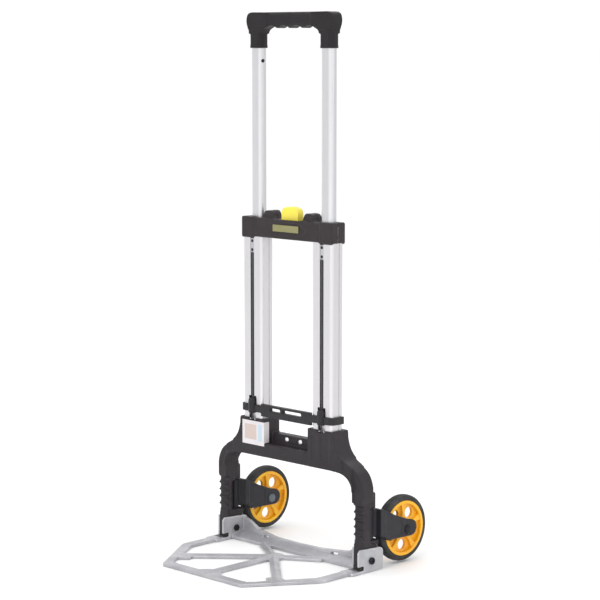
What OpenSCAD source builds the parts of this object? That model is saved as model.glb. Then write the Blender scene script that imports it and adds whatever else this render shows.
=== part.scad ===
// Folding two-wheel hand truck. Millimetres, +Z up, floor at z = 0.
// Origin: on the floor, midway between the two uprights.

/* [Uprights] */
// half the distance between the two uprights
upright_x = 92; // [80:1:110]
// width of an outer tube
outer_w = 52; // [44:1:60]
// front face of an outer tube
outer_front_y = -16; // [-18:0.5:-14]
// back face of an outer tube
outer_back_y = 15; // [14:0.5:18]
// lower end of the outer tubes
outer_z0 = 190; // [180:1:200]
// upper end of the outer tubes
outer_z1 = 632; // [600:1:660]
// width of the cord channel
channel_w = 9.5; // [9:0.1:11]
// wall between the cord channel and the bore of the tube
channel_back_y = -8.2; // [-9:0.1:-8]
// width of an inner tube
inner_w = 29; // [26:0.5:31]
// depth of an inner tube
inner_d = 19; // [17:0.5:19.5]
// middle plane of the inner tubes
inner_y = 3; // [2:0.1:3.2]
// lower end of the inner tubes, handle pulled out
inner_z0 = 518; // [512:1:530]
// upper end of the inner tubes
inner_z1 = 984; // [970:1:990]
// height of the latch pins
latch_z = 620; // [612:1:624]
// how far the handle slides in
handle_travel = 311; // [280:1:311]

/* [Handle] */
// underside of the handle sockets
socket_z0 = 954.5; // [940:0.5:960]
// top of the handle
handle_top = 1021; // [1000:1:1030]
// width of the grip bar
grip_w = 224; // [210:1:230]
// depth of the grip bar
grip_d = 28; // [24:1:32]
// lowest point of the finger ridges
grip_z0 = 991; // [985:1:995]
// distance between finger ridges
ridge_pitch = 33; // [28:1:36]

/* [Lock bar] */
// half width of the lock bar
bar_x = 119; // [115:1:125]
// half depth of the lock bar
bar_y = 18.5; // [18:0.5:20]
// underside of the lock bar ends
bar_z0 = 599; // [590:1:605]
// top of the lock bar
bar_z1 = 639; // [635:1:645]
// half width of the release button
button_x = 22; // [20:1:26]
// depth of the release button
button_d = 16; // [14:1:18]
// top of the release button
button_top = 662; // [655:1:666]

/* [Yoke] */
// half width of the yoke at the sockets
yoke_x = 124; // [120:1:128]
// inner face of the yoke sockets
notch_x = 58; // [50:1:60]
// front face of the yoke
yoke_front_y = -19; // [-20:0.5:-18]
// back face of the yoke
yoke_back_y = 23; // [20:0.5:26]
// top of the yoke sockets
yoke_top = 254; // [245:1:260]
// top of the cross beam between the sockets
beam_top = 226; // [220:1:240]
// underside of the cross beam
beam_z0 = 181; // [175:1:190]
// inner face of the legs
leg_in = 169.4; // [166:0.1:172]
// outer face of the legs
leg_out = 193.1; // [190:0.1:195]

/* [Toe plate] */
// toe plate pivot, distance behind the upright plane
pivot_y = 8; // [4:0.5:10]
// toe plate pivot height
pivot_z = 21.3; // [18:0.1:26]
// outer edge of the side rims
plate_x = 190; // [180:1:196]
// where the front corners start
corner_y = -112; // [-130:1:-100]
// front edge of the toe plate
front_y = -236; // [-236:1:-220]
// half length of the straight front edge
front_x = 106; // [90:1:120]
// width of the flat rim
rim_w = 21; // [16:1:26]
// thickness of the flat rim and ribs
rim_t = 6; // [4:0.5:7]

/* [Wheels] */
// wheel radius over the tyre
wheel_r = 62.5; // [50:0.5:75]
// wheel width
wheel_w = 21; // [18:0.5:22]
// wheel centre plane, distance from the middle
wheel_x = 182.5; // [178:0.5:186]
// axle distance behind the upright plane
axle_y = 103; // [98:1:106]
// axle height
axle_z = 65.5; // [62.5:0.5:70]
// fork hinge pin, distance from the middle
hinge_x = 181; // [178:0.5:184]
// fork hinge pin, distance behind the upright plane
hinge_y = 20; // [18:0.5:22]

/* [Hidden] */
$fn = 96;
gap = 0.3;
outer_mid_y = (outer_front_y + outer_back_y) / 2;
outer_d = outer_back_y - outer_front_y;
outer_r = 6;
cord_r = 3.8;
cord_y = outer_front_y + cord_r;
cord_z1 = 572;
cord_z0 = 267;
boss_z0 = 263.5;
boss_z1 = 292;
boss_r = 8.4;
ear_in0 = 165;
ear_in1 = 169;
ear_out0 = 193.5;
ear_out1 = 197.5;
ear_front = -24;
ear_back = 40;
ear_top = 46;
bolt_r = 5;
pin_r = 3;
fork_z0 = 57;
fork_z1 = 114;
arm_z0 = 63;
arm_out0 = 195;
arm_out1 = 202;
arm_in0 = 163;
arm_in1 = 170;
tip_y = 112;
tip_z = 67;
tip_r = 15.5;
latch_r = 3;
hook_z0 = 264.5;
hook_z1 = 283;
hub_y = -50;
top_hole_z = latch_z + handle_travel;

alu = [0.80, 0.81, 0.83];
black = [0.20, 0.19, 0.20];
dark = [0.12, 0.12, 0.13];
yellow = [0.98, 0.68, 0.10];
cast = [0.62, 0.62, 0.65];
pale = [0.92, 0.88, 0.87];

// ---------- 2D helpers ----------
module rrect(w, d, r) {
    square([w - 2 * r, d], center = true);
    square([w, d - 2 * r], center = true);
    for (sx = [-1, 1], sy = [-1, 1])
        translate([sx * (w / 2 - r), sy * (d / 2 - r)]) circle(r);
}

// block between two corners
module slab(a, b) {
    translate([min(a[0], b[0]), min(a[1], b[1]), min(a[2], b[2])])
        cube([abs(b[0] - a[0]), abs(b[1] - a[1]), abs(b[2] - a[2])]);
}

// cylinder along X from x0 to x1
module rod_x(r, x0, x1, y, z) {
    translate([min(x0, x1), y, z]) rotate([0, 90, 0]) cylinder(r = r, h = abs(x1 - x0));
}

// cylinder along Y from y0 to y1
module rod_y(r, y0, y1, x, z) {
    translate([x, y1, z]) rotate([90, 0, 0]) cylinder(r = r, h = y1 - y0);
}

module both() {
    children();
    mirror([1, 0, 0]) children();
}

// ---------- uprights ----------
module outer_tube(s) {
    color(alu) difference() {
        translate([s * upright_x, outer_mid_y, outer_z0])
            linear_extrude(outer_z1 - outer_z0) difference() {
                rrect(outer_w, outer_d, outer_r);
                // bore for the inner tube
                translate([0, inner_y - outer_mid_y]) rrect(outer_w - 4, inner_d + 1.5, 4);
                // cord channel
                translate([-channel_w / 2, -outer_d / 2 - 1])
                    square([channel_w, channel_back_y - outer_front_y + 1]);
                // hollow on each side of the channel
                for (k = [-1, 1]) translate([k * (channel_w / 2 + 1.6 + 7.2), -outer_d / 2 + 4.7])
                    square([14.4, 5.6], center = true);
                // shallow groove on each side face
                for (k = [-1, 1]) translate([k * outer_w / 2, 3]) square([1.6, 3], center = true);
            }
        // cut-out for the hook boss
        slab([s * (upright_x - 10), outer_front_y - 1, yoke_top - 2],
             [s * (upright_x + 10), channel_back_y - 0.2, boss_z1 + 4]);
        // latch pin hole
        rod_x(latch_r + gap, s * (upright_x - outer_w / 2 - 1), s * (upright_x - outer_w / 2 + 3),
              0, latch_z);
    }
}

module inner_tube(s) {
    color(alu) difference() {
        translate([s * upright_x, inner_y, inner_z0]) linear_extrude(inner_z1 - inner_z0)
            difference() {
                rrect(inner_w, inner_d, 8);
                rrect(inner_w - 3, inner_d - 3, 6.5);
            }
        for (z = [latch_z, top_hole_z])
            rod_x(latch_r + 0.6, s * (upright_x - inner_w / 2 - 1),
                  s * (upright_x - inner_w / 2 + 4), 0, z);
    }
}

module guide_bushes() {
    color(dark) both() translate([upright_x, inner_y, inner_z0 - 14]) difference() {
        union() {
            linear_extrude(14) rrect(outer_w - 5, inner_d + 0.9, 3.7);
            linear_extrude(28) rrect(inner_w - 3.1, inner_d - 3.1, 6.4);
        }
        translate([0, 0, -1]) linear_extrude(30) rrect(inner_w - 9, inner_d - 9, 3);
    }
}

// ---------- handle ----------
module finger_cut() {
    depth = 5;
    half = ridge_pitch / 2 - 2;
    r = (half * half + depth * depth) / (2 * depth);
    for (k = [-1.5, -0.5, 0.5, 1.5])
        rod_y(r, inner_y - grip_d, inner_y + grip_d, k * ridge_pitch, grip_z0 + depth - r);
}

module grip_pocket(c) {
    slab([-66 - c, inner_y - 10 - c, grip_z0 - 1], [66 + c, inner_y + 10 + c, grip_z0 + 13 + c]);
}

module handle_shell() {
    color(black) difference() {
        union() {
            translate([0, inner_y, grip_z0]) linear_extrude(handle_top - grip_z0)
                rrect(grip_w, grip_d, 12);
            both() translate([upright_x, inner_y, socket_z0])
                linear_extrude(grip_z0 - socket_z0 + 1) rrect(33, 23, 9);
            // gusset in the inner corner
            both() translate([0, inner_y + 10, 0]) rotate([90, 0, 0]) linear_extrude(20)
                polygon([[upright_x - 12, grip_z0 - 18], [upright_x - 12, grip_z0 + 1],
                    [upright_x - 24, grip_z0 + 1], [upright_x - 16, grip_z0 - 6]]);
        }
        both() translate([upright_x, inner_y, socket_z0 - 1])
            linear_extrude(inner_z1 - socket_z0 + 1) rrect(inner_w, inner_d, 8);
        finger_cut();
        grip_pocket(0);
        both() rod_y(2.6, inner_y + grip_d / 2 - 4, inner_y + grip_d / 2 + 1, 88, handle_top - 14);
    }
}

module grip_insert() {
    color(dark) difference() {
        slab([-66, inner_y - 10, grip_z0], [66, inner_y + 10, grip_z0 + 13]);
        finger_cut();
    }
}

module handle_screws() {
    color(dark) both() difference() {
        rod_y(2.6, inner_y + grip_d / 2 - 4, inner_y + grip_d / 2 - 0.6, 88, handle_top - 14);
        rod_y(1.3, inner_y + grip_d / 2 - 2, inner_y + grip_d / 2, 88, handle_top - 14);
    }
}

// ---------- lock bar ----------
module lock_bar_body() {
    difference() {
        union() {
            translate([0, 0, bar_z0 + 3]) linear_extrude(bar_z1 - bar_z0 - 4)
                rrect(2 * bar_x - 8, 2 * bar_y - 1, 5);
            both() translate([bar_x - 32, 0, bar_z0]) linear_extrude(bar_z1 - bar_z0)
                rrect(64, 2 * bar_y, 6);
            both() translate([0, 12, 0]) rotate([90, 0, 0]) linear_extrude(24)
                polygon([[39, bar_z1 - 2], [42, bar_z1 + 8], [46, bar_z1 + 13],
                    [59, bar_z1 + 13], [63, bar_z1 + 9], [67, bar_z1 - 2]]);
        }
        // sockets for the outer tubes
        both() translate([upright_x, outer_mid_y, bar_z0 - 1])
            linear_extrude(outer_z1 - bar_z0 + 1) rrect(outer_w, outer_d, outer_r);
        // way through for the inner tubes
        both() translate([upright_x, inner_y, outer_z1 - 1]) linear_extrude(40)
            rrect(inner_w + 0.8, inner_d + 0.8, 8.4);
        // well for the button
        translate([0, 0, bar_z0 + 10]) linear_extrude(60)
            rrect(2 * button_x + 2 * gap, button_d + 2 * gap, 4 + gap);
        // latch pins
        both() rod_x(latch_r + gap, button_x - 1, upright_x - outer_w / 2 + 1, 0, latch_z);
        // seat for the badge
        slab([-34, -bar_y - 1, 615], [34, -bar_y + 1.6, 628]);
        // screw seats
        both() for (x = [50, 112])
            rod_y(2.8, bar_y - 3, bar_y + 1, x, x > 100 ? bar_z1 - 7 : bar_z0 + 12);
    }
}

module lock_bar_front() {
    color(black) intersection() {
        lock_bar_body();
        slab([-200, -60, 500], [200, 0, 700]);
    }
}

module lock_bar_rear() {
    color(black) intersection() {
        lock_bar_body();
        slab([-200, 0, 500], [200, 60, 700]);
    }
}

module lock_bar_screws() {
    color(cast) both() for (x = [50, 112]) difference() {
        rod_y(2.8, bar_y - 3, bar_y - 0.8, x, x > 100 ? bar_z1 - 7 : bar_z0 + 12);
        rod_y(1.2, bar_y - 1.8, bar_y, x, x > 100 ? bar_z1 - 7 : bar_z0 + 12);
    }
}

module badge_plate() {
    color(pale) slab([-33.8, -bar_y - 0.2, 615.2], [33.8, -bar_y + 1.6, 627.8]);
}

module release_button() {
    color(yellow) difference() {
        translate([0, 0, bar_z0 + 20]) linear_extrude(button_top - bar_z0 - 20)
            rrect(2 * button_x, button_d, 4);
        // hollow underside
        translate([0, 0, bar_z0 + 19]) linear_extrude(button_top - bar_z0 - 23)
            rrect(2 * button_x - 5, button_d - 5, 2);
    }
}

module latch_pin(s) {
    color(cast) rod_x(latch_r, s * (button_x + 7), s * (upright_x - inner_w / 2 - 0.4), 0, latch_z);
}

// ---------- cords and hook bar ----------
module cord(s) {
    color(dark) translate([s * upright_x, cord_y, cord_z0]) cylinder(r = cord_r, h = cord_z1 - cord_z0);
}

module cord_anchors() {
    color(cast) both() {
        slab([upright_x - 4.4, outer_front_y + 0.2, cord_z1], [upright_x + 4.4, channel_back_y - 0.2, 598]);
        for (z = [cord_z1 + 4, 593])
            rod_y(3.1, outer_front_y - 0.8, outer_front_y + 0.3, upright_x, z);
    }
}

module hook_bar() {
    color(black) difference() {
        union() {
            // middle grip between the uprights
            slab([-64, -20, hook_z0 - 5], [64, -11, hook_z1]);
            // rail in front of the uprights
            slab([-115, -20, hook_z0 + 1], [115, outer_front_y - 0.4, hook_z1 - 3]);
            // arms beside the uprights, with a rounded corner
            both() translate([118.4, 0, hook_z0 + 1]) linear_extrude(hook_z1 - hook_z0 - 4)
                difference() {
                    union() {
                        translate([0, -12]) square([4.6, 24]);
                        translate([2.3, 12]) circle(2.3);
                        translate([-3.4, -12]) circle(8);
                    }
                    translate([-30, outer_front_y - 0.4]) square([30, 40]);
                }
        }
        // finger slots
        slab([-42, -21, hook_z1 - 11], [-14, -5, hook_z1 - 4.5]);
        slab([-8, -21, hook_z1 - 11], [42, -5, hook_z1 - 4.5]);
        // room for the bosses
        both() translate([upright_x, outer_front_y, hook_z0 - 6]) cylinder(r = boss_r, h = 26);
    }
}

module hook_bosses() {
    color(black) both() difference() {
        translate([upright_x, outer_front_y, boss_z0]) cylinder(r = boss_r, h = boss_z1 - boss_z0);
        slab([upright_x - 10, channel_back_y - 0.6, boss_z0 - 1], [upright_x + 10, 5, boss_z1 + 1]);
        // slot for the cord, open to the back
        translate([upright_x, cord_y, cord_z0 - gap]) cylinder(r = cord_r + gap, h = 60);
        slab([upright_x - cord_r - gap, cord_y, cord_z0 - gap], [upright_x + cord_r + gap, 0, boss_z1 + 1]);
    }
}

// ---------- yoke ----------
module yoke_profile() {
    difference() {
        polygon([[0, beam_z0], [140, beam_z0], [158, beam_z0 - 8], [leg_in, beam_z0 - 28],
            [leg_in, 128], [leg_out, 128], [195, 142], [193.5, 154], [189, 169],
            [180, 183], [164, 194], [148, 203], [136, 214], [129, 226], [125, 240],
            [yoke_x, yoke_top], [0, yoke_top]]);
        square([notch_x, 300]);
    }
}

module yoke() {
    color(black) difference() {
        union() {
            // sockets and shoulders
            both() translate([0, yoke_back_y, 0]) rotate([90, 0, 0])
                linear_extrude(yoke_back_y - yoke_front_y) intersection() {
                    yoke_profile();
                    translate([0, 150]) square([150, 200]);
                }
            both() translate([0, 18, 0]) rotate([90, 0, 0]) linear_extrude(30) intersection() {
                yoke_profile();
                translate([149, 100]) square([100, 200]);
            }
            // cross beam
            slab([-notch_x, yoke_front_y, beam_z0], [notch_x, yoke_back_y, beam_z0 + 26]);
            slab([-notch_x, 3, beam_z0], [notch_x, yoke_back_y, beam_top]);
            // legs
            both() slab([leg_in, -10, 50], [leg_out, 12, 134]);
            // hinge brackets
            both() {
                slab([hinge_x - 9, 10, 46], [hinge_x + 9, 36, fork_z0 - gap]);
                slab([hinge_x - 9, 10, fork_z1 + gap], [hinge_x + 9, 28, 146]);
            }
            // feet between the toe plate's ears
            both() translate([leg_in, 0, 0]) rotate([90, 0, 90]) linear_extrude(leg_out - leg_in)
                polygon([[-10, 4], [26, 4], [30, 12], [30, 46], [12, 52], [-10, 52]]);
            // finger ridges on the legs
            both() for (z = [70, 84, 98, 112, 126])
                rod_x(3, leg_in, leg_out, -8.6, z);
        }
        // pockets for the outer tubes
        both() translate([upright_x, outer_mid_y, outer_z0]) linear_extrude(100)
            rrect(outer_w, outer_d, outer_r);
        // room for the hook bosses and cords
        both() translate([upright_x, outer_front_y, yoke_top - 4]) cylinder(r = boss_r + 1, h = 20);
        // hinge pins and room for their heads
        both() translate([hinge_x, hinge_y, 44]) cylinder(r = pin_r, h = 110);
        both() translate([hinge_x, hinge_y, 145.9]) cylinder(r = 5.4, h = 12);
        // toe plate bolts
        both() rod_x(bolt_r, leg_in - 1, leg_out + 1, pivot_y, pivot_z);
        // inner back corner cut away for the swinging fork
        both() translate([0, 0, fork_z0 - gap]) linear_extrude(fork_z1 - fork_z0 + 2 * gap)
            polygon([[leg_in - 1, 0], [leg_in + 0.2, 0], [leg_in + 9, 12.2], [leg_in - 1, 12.2]]);
        // rivet seats
        both() rod_y(4, 0, 8, 18, 217.5);
    }
}

module yoke_rivets() {
    color(alu) both() {
        rod_y(4, 3, 8, 18, 217.5);
        rod_y(5.2, 1, 3, 18, 217.5);
    }
}

module rating_label() {
    color(pale) union() {
        slab([-117, yoke_front_y - 0.4, 202], [-notch_x + 0.4, yoke_front_y, 248]);
        slab([-notch_x, yoke_front_y - 0.4, 207.6], [-notch_x + 0.4, -6, 248]);
    }
}

module leg_pads() {
    color(dark) both() slab([leg_in + 1, -12, 4.5], [leg_out - 1, -10, 13]);
}

module hinge_pins() {
    color(cast) both() translate([hinge_x, hinge_y, 45]) {
        cylinder(r = pin_r, h = 101);
        translate([0, 0, 101]) cylinder(r = 5, h = 2);
    }
}

module toe_bolts() {
    color(dark) both() {
        rod_x(bolt_r, ear_in0 - 1, ear_out1 + 1, pivot_y, pivot_z);
        rod_x(6.8, ear_out1 + 0.3, ear_out1 + 3.3, pivot_y, pivot_z);
        rod_x(6.8, ear_in0 - 3.3, ear_in0 - 0.3, pivot_y, pivot_z);
    }
}

// ---------- toe plate ----------
module plate_outline(c) {
    polygon([[-plate_x + c, -24 - c], [plate_x - c, -24 - c], [plate_x - c, corner_y + c * 0.3],
        [front_x - c * 0.6, front_y + c], [-front_x + c * 0.6, front_y + c],
        [-plate_x + c, corner_y + c * 0.3]]);
}

module rib(a, b, w) {
    d = b - a;
    translate(a) rotate(atan2(d[1], d[0])) translate([0, -w / 2]) square([norm(d), w]);
}

module ear(x0, x1, nose) {
    // the nose reaches forward above the foot
    rotate([90, 0, 90]) translate([0, 0, x0]) linear_extrude(x1 - x0) difference() {
        union() {
            polygon([[ear_front, 0], [ear_back, 0], [ear_back, ear_top - 12],
                [ear_back - 9, ear_top - 3], [-10, ear_top], [-10, rim_t], [ear_front, rim_t]]);
            translate([ear_back - 9, ear_top - 12]) circle(9);
            if (nose) polygon([[-11, 14], [-27, 14], [-27, 40], [-22, ear_top], [-9, ear_top], [-9, 14]]);
        }
        translate([pivot_y, pivot_z]) circle(bolt_r + 0.06);
    }
}

module toe_plate() {
    color(cast) difference() {
        toe_plate_body();
        // room for the inner bolt heads
        both() rod_x(7.3, ear_in0 - 5, ear_in0, pivot_y, pivot_z);
    }
}

module rail_plan(front, mid, bend, end) {
    // outline from the front line to a back edge that bows towards the middle
    polygon([[-ear_in0, front], [ear_in0, front], [ear_in0, end], [100, bend], [60, mid + 1],
        [0, mid], [-60, mid + 1], [-100, bend], [-ear_in0, end]]);
}

module toe_plate_body() {
    union() {
        // rim, hub and ribs in one flat casting
        linear_extrude(rim_t) {
            difference() {
                plate_outline(0);
                plate_outline(rim_w);
                translate([-ear_in0 - 2, -60]) square([2 * ear_in0 + 4, 50]);
            }
            translate([0, hub_y]) circle(20);
            rib([0, hub_y], [0, front_y + rim_w / 2], 20);
            both() rib([0, hub_y], [134, -172], 20);
            both() rib([0, hub_y], [80, 0], 18);
        }
        // sloping apron
        intersection() {
            rotate([90, 0, 90]) translate([0, 0, -ear_in0]) linear_extrude(2 * ear_in0)
                polygon([[-2, 0], [5, 0], [13, 8.5], [40, 8.5], [40, 14.5], [12, 14.5], [-2, 7]]);
            linear_extrude(20) rail_plan(-3, 15, 25, 31);
        }
        // bowed back wall, low in the middle and tall at the ears
        intersection() {
            linear_extrude(50) difference() {
                rail_plan(0, 20, 30, 36);
                rail_plan(-1, 12, 22, 28);
            }
            translate([0, 45, 0]) rotate([90, 0, 0]) linear_extrude(50)
                polygon([[-ear_in0, 0], [ear_in0, 0], [ear_in0, 40], [148, 36], [128, 27], [122, 22.5],
                    [85, 20], [0, 18.5], [-85, 20], [-122, 22.5], [-128, 27], [-148, 36],
                    [-ear_in0, 40]]);
        }
        // bridge from ears to rim
        both() slab([ear_in0, -42, 0], [ear_out1, ear_front + 1, rim_t]);
        ear(-ear_out1, -ear_out0, false);
        ear(-ear_in1, -ear_in0, true);
        ear(ear_in0, ear_in1, false);
        ear(ear_out0, ear_out1, true);
    }
}

// ---------- forks ----------
module arm_profile() {
    difference() {
        union() {
            polygon([[30, arm_z0], [36, arm_z0], [48, 53], [tip_y, tip_z - tip_r],
                [tip_y, tip_z + tip_r],
                [104, 84], [70, 97], [40, 112], [36, fork_z1], [30, fork_z1]]);
            translate([tip_y, tip_z]) circle(tip_r);
        }
        translate([axle_y, axle_z]) circle(bolt_r);
    }
}

module arm(x0, x1) {
    rotate([90, 0, 90]) translate([0, 0, x0]) linear_extrude(x1 - x0) arm_profile();
}

module fork(s) {
    color(black) scale_x(s) difference() {
        union() {
            translate([hinge_x, hinge_y, fork_z0]) cylinder(r = 7, h = fork_z1 - fork_z0);
            // root plate, high enough to clear the folding ears
            translate([0, 0, arm_z0]) linear_extrude(fork_z1 - arm_z0)
                polygon([[arm_in0, 32.5], [hinge_x - 7, hinge_y + 6], [hinge_x - 5, hinge_y],
                    [hinge_x + 5, hinge_y], [hinge_x + 9, 28.5], [arm_out1, 28.5], [arm_out1, 35.5],
                    [arm_in0, 35.5]]);
            arm(arm_in0, arm_in1);
            arm(arm_out0, arm_out1);
        }
        translate([hinge_x, hinge_y, fork_z0 - 1]) cylinder(r = pin_r + 0.06, h = 90);
        // front of the arms trimmed back to the root plate
        slab([arm_in0 - 1, 20, 50], [hinge_x - 8, 28.4, 140]);
        slab([hinge_x + 9, 20, 50], [arm_out1 + 1, 28.4, 140]);
    }
}

module scale_x(s) {
    if (s < 0) mirror([1, 0, 0]) children();
    else children();
}

module axle(s) {
    color(cast) scale_x(s) {
        rod_x(bolt_r, arm_in0 - 1, arm_out1 + 1, axle_y, axle_z);
        rod_x(9, arm_out1, arm_out1 + 3, axle_y, axle_z);
        rod_x(9, arm_in0 - 3, arm_in0, axle_y, axle_z);
    }
}

// ---------- wheels ----------
module turned(s) {
    translate([s * wheel_x, axle_y, axle_z]) rotate([0, 90, 0]) rotate_extrude() children();
}

module tyre(s) {
    color(dark) turned(s) difference() {
        union() {
            translate([52, -wheel_w / 2 + 1]) square([6.5, wheel_w - 2]);
            translate([55, -wheel_w / 2 + 3]) square([wheel_r - 55, wheel_w - 6]);
            for (k = [-1, 1]) translate([58.5, k * (wheel_w / 2 - 4)]) circle(3.2);
        }
        translate([40, -4]) square([14, 8]);
    }
}

module rim(s) {
    color(yellow) difference() {
        turned(s) {
            // outer band
            translate([46, -wheel_w / 2]) square([6, wheel_w]);
            translate([51.9, -4]) square([2.1, 8]);
            // web
            translate([16, -3]) square([31, 6]);
            // hub
            translate([9, -wheel_w / 2]) square([8, wheel_w]);
        }
        // openings between the spokes
        for (k = [0:4]) translate([s * wheel_x, axle_y, axle_z]) rotate([k * 72 + 36, 0, 0])
            translate([0, 0, 32]) rotate([0, 90, 0]) cylinder(r = 10, h = 40, center = true);
    }
    // ribs along the spokes
    color(yellow) for (k = [0:4]) translate([s * wheel_x, axle_y, axle_z]) rotate([k * 72, 0, 0])
        for (m = [-1, 1]) translate([m * (wheel_w / 2 - 4.4), 0, 31.5]) cube([6, 5, 31], center = true);
}

module hub_bush(s) {
    color(alu) turned(s) translate([bolt_r + 0.06, -wheel_w / 2 - 1])
        square([9 - bolt_r - 0.06, wheel_w + 2]);
}

yoke();
outer_tube(-1);  // outer_tube_left
outer_tube(1);  // outer_tube_right
lock_bar_front();
lock_bar_rear();
lock_bar_screws();
badge_plate();
cord(-1);  // cord_left
cord(1);  // cord_right
cord_anchors();
yoke_rivets();
rating_label();
hinge_pins();
toe_bolts();
leg_pads();
hook_bar();
hook_bosses();
inner_tube(-1);  // inner_tube_left
inner_tube(1);  // inner_tube_right
handle_shell();
grip_insert();
handle_screws();
guide_bushes();
release_button();
latch_pin(-1);  // latch_pin_left
latch_pin(1);  // latch_pin_right
toe_plate();
fork(-1);  // fork_left
fork(1);  // fork_right
axle(-1);  // axle_left
axle(1);  // axle_right
rim(-1);  // rim_left
rim(1);  // rim_right
tyre(-1);  // tyre_left
tyre(1);  // tyre_right
hub_bush(-1);  // hub_bush_left
hub_bush(1);  // hub_bush_right
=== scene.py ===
"""Folding hand truck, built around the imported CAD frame. Sizes are in millimetres until mesh_object()."""
import math

import bmesh
import bpy
from mathutils import Matrix, Vector


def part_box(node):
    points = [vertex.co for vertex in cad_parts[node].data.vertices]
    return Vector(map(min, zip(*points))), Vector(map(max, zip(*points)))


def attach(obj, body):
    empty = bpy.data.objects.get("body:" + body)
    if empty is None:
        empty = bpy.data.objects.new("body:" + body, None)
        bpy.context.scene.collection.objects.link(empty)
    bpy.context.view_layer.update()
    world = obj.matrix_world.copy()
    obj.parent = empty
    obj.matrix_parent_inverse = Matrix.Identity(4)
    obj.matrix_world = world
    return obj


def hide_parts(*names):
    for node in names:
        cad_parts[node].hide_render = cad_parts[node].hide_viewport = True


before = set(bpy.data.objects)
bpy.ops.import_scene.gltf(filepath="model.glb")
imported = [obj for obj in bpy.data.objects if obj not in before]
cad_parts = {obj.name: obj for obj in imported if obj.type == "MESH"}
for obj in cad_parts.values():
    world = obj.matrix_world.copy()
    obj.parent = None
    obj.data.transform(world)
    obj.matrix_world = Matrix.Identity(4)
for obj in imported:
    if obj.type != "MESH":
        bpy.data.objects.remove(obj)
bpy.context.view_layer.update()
MM = 0.001


def box_mm(node):
    """Lowest and highest corner of a CAD node, in millimetres."""
    low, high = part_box(node)
    return low / MM, high / MM


# ---------------------------------------------------------------- mesh helpers
def add_part(bm, part):
    """Adds the bmesh part to bm and frees it."""
    mesh = bpy.data.meshes.new("tmp")
    part.to_mesh(mesh)
    part.free()
    bm.from_mesh(mesh)
    bpy.data.meshes.remove(mesh)


def block(bm, a, b, r=1.0, seg=3):
    """A box between two corners with all edges rounded."""
    part = bmesh.new()
    bmesh.ops.create_cube(part, size=1.0)
    size = Vector([abs(q - p) for p, q in zip(a, b)])
    mid = Vector([(q + p) / 2 for p, q in zip(a, b)])
    for v in part.verts:
        v.co = Vector([v.co[i] * size[i] + mid[i] for i in range(3)])
    if r > 0:
        r = min(r, min(size) * 0.49)
        bmesh.ops.bevel(part, geom=list(part.edges), offset=r, segments=seg, profile=0.5, affect="EDGES")
    add_part(bm, part)


def prism(bm, outline, axis, lo, hi, r=0.0, seg=3):
    """A flat outline pushed along an axis from lo to hi. Its points lie in the other two axes."""
    part = bmesh.new()
    others = [i for i in range(3) if i != axis]
    rings = []
    for level in (lo, hi):
        ring = []
        for p in outline:
            co = [0, 0, 0]
            co[axis] = level
            co[others[0]], co[others[1]] = p
            ring.append(part.verts.new(co))
        rings.append(ring)
    n = len(outline)
    caps = [part.faces.new(rings[0]), part.faces.new(rings[1][::-1])]
    for i in range(n):
        part.faces.new([rings[0][i], rings[1][i], rings[1][(i + 1) % n], rings[0][(i + 1) % n]])
    bmesh.ops.recalc_face_normals(part, faces=list(part.faces))
    if r > 0:
        rim = {e for f in caps for e in f.edges}
        bmesh.ops.bevel(part, geom=list(rim), offset=r, segments=seg, profile=0.5, affect="EDGES")
    add_part(bm, part)


def rod(bm, axis, centre, radius, lo, hi, seg=40, r=0.0):
    """A cylinder along an axis. centre gives the other two coordinates."""
    ring = [(centre[0] + radius * math.cos(2 * math.pi * k / seg),
             centre[1] + radius * math.sin(2 * math.pi * k / seg)) for k in range(seg)]
    prism(bm, ring, axis, lo, hi, r)


def loft(bm, sections):
    """A solid through closed sections that all have the same number of points."""
    part = bmesh.new()
    rings = [[part.verts.new(p) for p in section] for section in sections]
    n = len(rings[0])
    for a, b in zip(rings, rings[1:]):
        for i in range(n):
            part.faces.new([a[i], a[(i + 1) % n], b[(i + 1) % n], b[i]])
    part.faces.new(rings[0][::-1])
    part.faces.new(rings[-1])
    bmesh.ops.recalc_face_normals(part, faces=list(part.faces))
    add_part(bm, part)


def lathe(bm, profile, centre, seg=128):
    """A closed (radius, x offset) profile turned about the X axis through centre."""
    part = bmesh.new()
    rings = []
    for k in range(seg):
        t = 2 * math.pi * k / seg
        cos, sin = math.cos(t), math.sin(t)
        rings.append([part.verts.new((centre[0] + x, centre[1] + rad * cos, centre[2] + rad * sin))
                      for rad, x in profile])
    n = len(profile)
    for k in range(seg):
        a, b = rings[k], rings[(k + 1) % seg]
        for i in range(n):
            part.faces.new([a[i], a[(i + 1) % n], b[(i + 1) % n], b[i]])
    bmesh.ops.recalc_face_normals(part, faces=list(part.faces))
    add_part(bm, part)


def rounded(w, d, r, centre=(0, 0), seg=10):
    """Outline of a rounded rectangle."""
    pts = []
    for k, (sx, sy) in enumerate(((1, 1), (-1, 1), (-1, -1), (1, -1))):
        corner_x, corner_y = centre[0] + sx * (w / 2 - r), centre[1] + sy * (d / 2 - r)
        for j in range(seg + 1):
            t = math.pi / 2 * (k + j / seg)
            pts.append((corner_x + r * math.cos(t), corner_y + r * math.sin(t)))
    return pts


def smooth_line(points, steps=8):
    """Catmull-Rom curve through points."""
    out = []
    ext = [points[0]] + list(points) + [points[-1]]
    for i in range(1, len(ext) - 2):
        p0, p1, p2, p3 = [Vector(p) for p in ext[i - 1:i + 3]]
        for s in range(steps):
            t = s / steps
            out.append(tuple(0.5 * ((2 * p1) + (p2 - p0) * t + (2 * p0 - 5 * p1 + 4 * p2 - p3) * t * t
                                    + (3 * p1 - p0 - 3 * p2 + p3) * t ** 3)))
    out.append(tuple(points[-1]))
    return out


def mirrored(points):
    """The points on the other side of x = 0, in reverse order."""
    return [(-x, z) for x, z in reversed(points)]


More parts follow.
